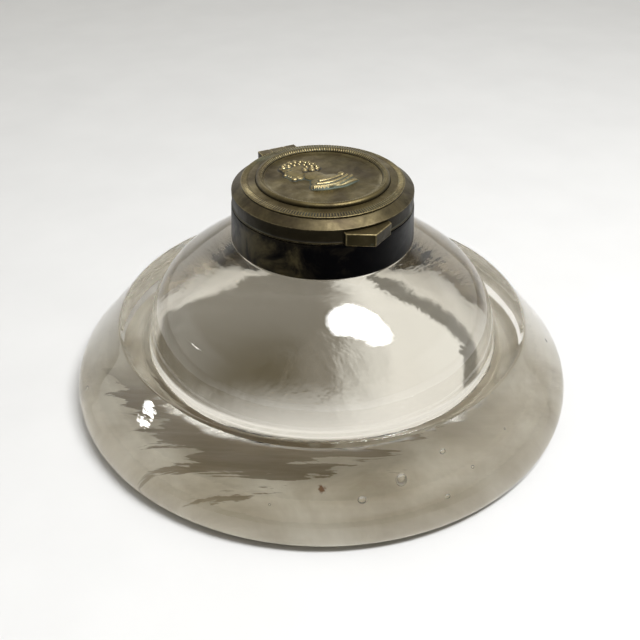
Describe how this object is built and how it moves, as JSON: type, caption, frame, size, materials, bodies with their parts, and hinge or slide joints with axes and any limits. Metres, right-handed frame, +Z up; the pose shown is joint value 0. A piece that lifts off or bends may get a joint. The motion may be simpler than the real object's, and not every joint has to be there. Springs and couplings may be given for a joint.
{
  "type": "ink bottle",
  "caption": "Low, wide desk ink bottle of thick clear glass with a gutter round its central mound, a brass collar and a hinged brass lid with a medallion",
  "frame": {"origin": "centre of the flat ring that the bottle stands on, at table height", "axes": "+Z up along the axis of the bottle, +Y toward the hinge, -Y toward the thumb tab"},
  "size_m": [0.149, 0.149, 0.0685],
  "materials": {
    "clear_glass": "clear, slightly warm, hand-finished",
    "cement": "dry white bedding cement",
    "dark_brass": "dark aged brass",
    "aged_brass": "olive aged brass with worn edges",
    "cork": "ink-stained cork"
  },
  "bodies": {
    "bottle": {"glass_body": "clear_glass", "bedding_cement": "cement", "collar_band": "dark_brass", "collar_plate": "aged_brass", "collar_knuckle_left": "dark_brass", "collar_knuckle_right": "dark_brass", "hinge_pin": "aged_brass"},
    "lid": {"lid_shell": "aged_brass", "lid_knuckle": "aged_brass", "lid_liner": "cork", "milled_ring": "aged_brass", "frame_ring": "aged_brass", "medallion_disc": "aged_brass", "bust_relief": "aged_brass", "thumb_tab": "aged_brass"}
  },
  "joints": [
    {"name": "lid_hinge", "type": "hinge", "parent": "bottle", "child": "lid", "pos_m": [0, 0.0282, 0.0607], "axis": [-1, 0, 0], "range_deg": [0, 100]}
  ]
}
